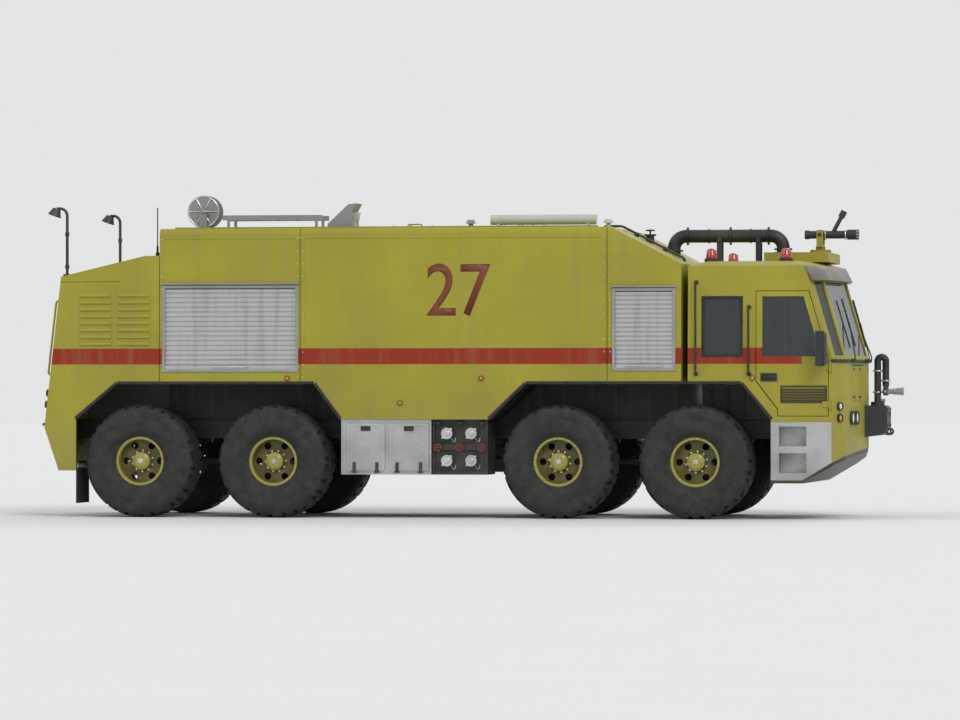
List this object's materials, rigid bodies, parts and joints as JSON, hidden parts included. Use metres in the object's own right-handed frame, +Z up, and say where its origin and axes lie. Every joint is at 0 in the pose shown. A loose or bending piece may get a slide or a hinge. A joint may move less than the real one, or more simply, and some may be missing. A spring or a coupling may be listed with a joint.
{
  "type": "airport fire truck",
  "caption": "Airport crash tender on twin-axle pairs, with a wide front cab, tank body with roller shutters, rear engine house, and roof and bumper water turrets.",
  "frame": {"origin": "middle of the overall box on the ground, between the left and right tyres", "axes": "+X forward towards the cab, +Y to the truck's left, +Z up"},
  "size_m": [10.52, 3.58, 3.9497],
  "materials": {
    "lime_yellow": "gloss paint",
    "silver_metal": "satin, ribbed slats and tread plate",
    "black_steel": "satin paint",
    "tyre_rubber": "matt rubber",
    "window_glass": "clear",
    "trim_plastic": "matt grained",
    "seat_fabric": "woven"
  },
  "bodies": {
    "chassis": {"frame_rails": "black_steel", "axles": "black_steel", "engine_block": "black_steel", "engine_house": "lime_yellow", "engine_grille": "black_steel", "locker_body": "lime_yellow", "tank_body": "lime_yellow", "pump_body": "lime_yellow", "shutters": "silver_metal", "side_boxes": "silver_metal", "pump_panels": "silver_metal", "mud_flaps": "tyre_rubber", "cab_shell": "lime_yellow", "cab_glass": "window_glass", "seats": "seat_fabric", "dashboard": "trim_plastic", "nose_bracket": "trim_plastic", "skid_plate": "black_steel", "roof_pipe": "black_steel", "light_masts": "black_steel", "roof_gear": "silver_metal", "tail_gear": "trim_plastic"},
    "knuckle_1_left": {"knuckle_1_left": "black_steel"},
    "knuckle_1_right": {"knuckle_1_right": "black_steel"},
    "knuckle_2_left": {"knuckle_2_left": "black_steel"},
    "knuckle_2_right": {"knuckle_2_right": "black_steel"},
    "wheel_1_left": {"tyre_1_left": "tyre_rubber", "rim_1_left": "lime_yellow"},
    "wheel_1_right": {"tyre_1_right": "tyre_rubber", "rim_1_right": "lime_yellow"},
    "wheel_2_left": {"tyre_2_left": "tyre_rubber", "rim_2_left": "lime_yellow"},
    "wheel_2_right": {"tyre_2_right": "tyre_rubber", "rim_2_right": "lime_yellow"},
    "wheel_3_left": {"tyre_3_left": "tyre_rubber", "rim_3_left": "lime_yellow"},
    "wheel_3_right": {"tyre_3_right": "tyre_rubber", "rim_3_right": "lime_yellow"},
    "wheel_4_left": {"tyre_4_left": "tyre_rubber", "rim_4_left": "lime_yellow"},
    "wheel_4_right": {"tyre_4_right": "tyre_rubber", "rim_4_right": "lime_yellow"},
    "door_left": {"door_left": "lime_yellow", "door_glass_left": "window_glass", "mirror_left": "trim_plastic"},
    "door_right": {"door_right": "lime_yellow", "door_glass_right": "window_glass", "mirror_right": "trim_plastic"},
    "roof_turret": {"roof_turret_base": "lime_yellow"},
    "roof_barrel": {"roof_turret_barrel": "black_steel"},
    "bumper_turret": {"bumper_turret_base": "black_steel"},
    "bumper_barrel": {"bumper_turret_barrel": "black_steel"}
  },
  "joints": [
    {"name": "steer_1_left", "type": "hinge", "parent": "chassis", "child": "knuckle_1_left", "pos_m": [2.88, 1.05, 0.6875], "axis": [0, 0, 1], "range_deg": [-25, 25]},
    {"name": "steer_1_right", "type": "hinge", "parent": "chassis", "child": "knuckle_1_right", "pos_m": [2.88, -1.05, 0.6875], "axis": [0, 0, 1], "range_deg": [-25, 25]},
    {"name": "steer_2_left", "type": "hinge", "parent": "chassis", "child": "knuckle_2_left", "pos_m": [1.21, 1.05, 0.6875], "axis": [0, 0, 1], "range_deg": [-18, 18]},
    {"name": "steer_2_right", "type": "hinge", "parent": "chassis", "child": "knuckle_2_right", "pos_m": [1.21, -1.05, 0.6875], "axis": [0, 0, 1], "range_deg": [-18, 18]},
    {"name": "spin_1_left", "type": "hinge", "parent": "knuckle_1_left", "child": "wheel_1_left", "pos_m": [2.88, 1.2, 0.6875], "axis": [0, 1, 0], "continuous": true},
    {"name": "spin_1_right", "type": "hinge", "parent": "knuckle_1_right", "child": "wheel_1_right", "pos_m": [2.88, -1.2, 0.6875], "axis": [0, 1, 0], "continuous": true},
    {"name": "spin_2_left", "type": "hinge", "parent": "knuckle_2_left", "child": "wheel_2_left", "pos_m": [1.21, 1.2, 0.6875], "axis": [0, 1, 0], "continuous": true},
    {"name": "spin_2_right", "type": "hinge", "parent": "knuckle_2_right", "child": "wheel_2_right", "pos_m": [1.21, -1.2, 0.6875], "axis": [0, 1, 0], "continuous": true},
    {"name": "spin_3_left", "type": "hinge", "parent": "chassis", "child": "wheel_3_left", "pos_m": [-2.31, 1.2, 0.6875], "axis": [0, 1, 0], "continuous": true},
    {"name": "spin_3_right", "type": "hinge", "parent": "chassis", "child": "wheel_3_right", "pos_m": [-2.31, -1.2, 0.6875], "axis": [0, 1, 0], "continuous": true},
    {"name": "spin_4_left", "type": "hinge", "parent": "chassis", "child": "wheel_4_left", "pos_m": [-3.98, 1.2, 0.6875], "axis": [0, 1, 0], "continuous": true},
    {"name": "spin_4_right", "type": "hinge", "parent": "chassis", "child": "wheel_4_right", "pos_m": [-3.98, -1.2, 0.6875], "axis": [0, 1, 0], "continuous": true},
    {"name": "door_left_swing", "type": "hinge", "parent": "chassis", "child": "door_left", "pos_m": [4.514, 1.518, 1.55], "axis": [0, 0, -1], "range_deg": [0, 70]},
    {"name": "door_right_swing", "type": "hinge", "parent": "chassis", "child": "door_right", "pos_m": [4.514, -1.518, 1.55], "axis": [0, 0, 1], "range_deg": [0, 70]},
    {"name": "roof_turret_pan", "type": "hinge", "parent": "chassis", "child": "roof_turret", "pos_m": [4.24, 0, 3.23], "axis": [0, 0, 1], "range_deg": [-100, 100]},
    {"name": "roof_turret_tilt", "type": "hinge", "parent": "roof_turret", "child": "roof_barrel", "pos_m": [4.24, 0, 3.46], "axis": [0, -1, 0], "range_deg": [-10, 45]},
    {"name": "bumper_turret_pan", "type": "hinge", "parent": "chassis", "child": "bumper_turret", "pos_m": [4.94, 0, 1.37], "axis": [0, 0, 1], "range_deg": [-60, 60]},
    {"name": "bumper_turret_tilt", "type": "hinge", "parent": "bumper_turret", "child": "bumper_barrel", "pos_m": [5.04, 0, 1.54], "axis": [0, -1, 0], "range_deg": [-20, 25]}
  ],
  "couplings": [
    {"joint": "steer_1_right", "follows": "steer_1_left", "ratio": 1},
    {"joint": "steer_2_left", "follows": "steer_1_left", "ratio": 0.72},
    {"joint": "steer_2_right", "follows": "steer_1_left", "ratio": 0.72}
  ]
}
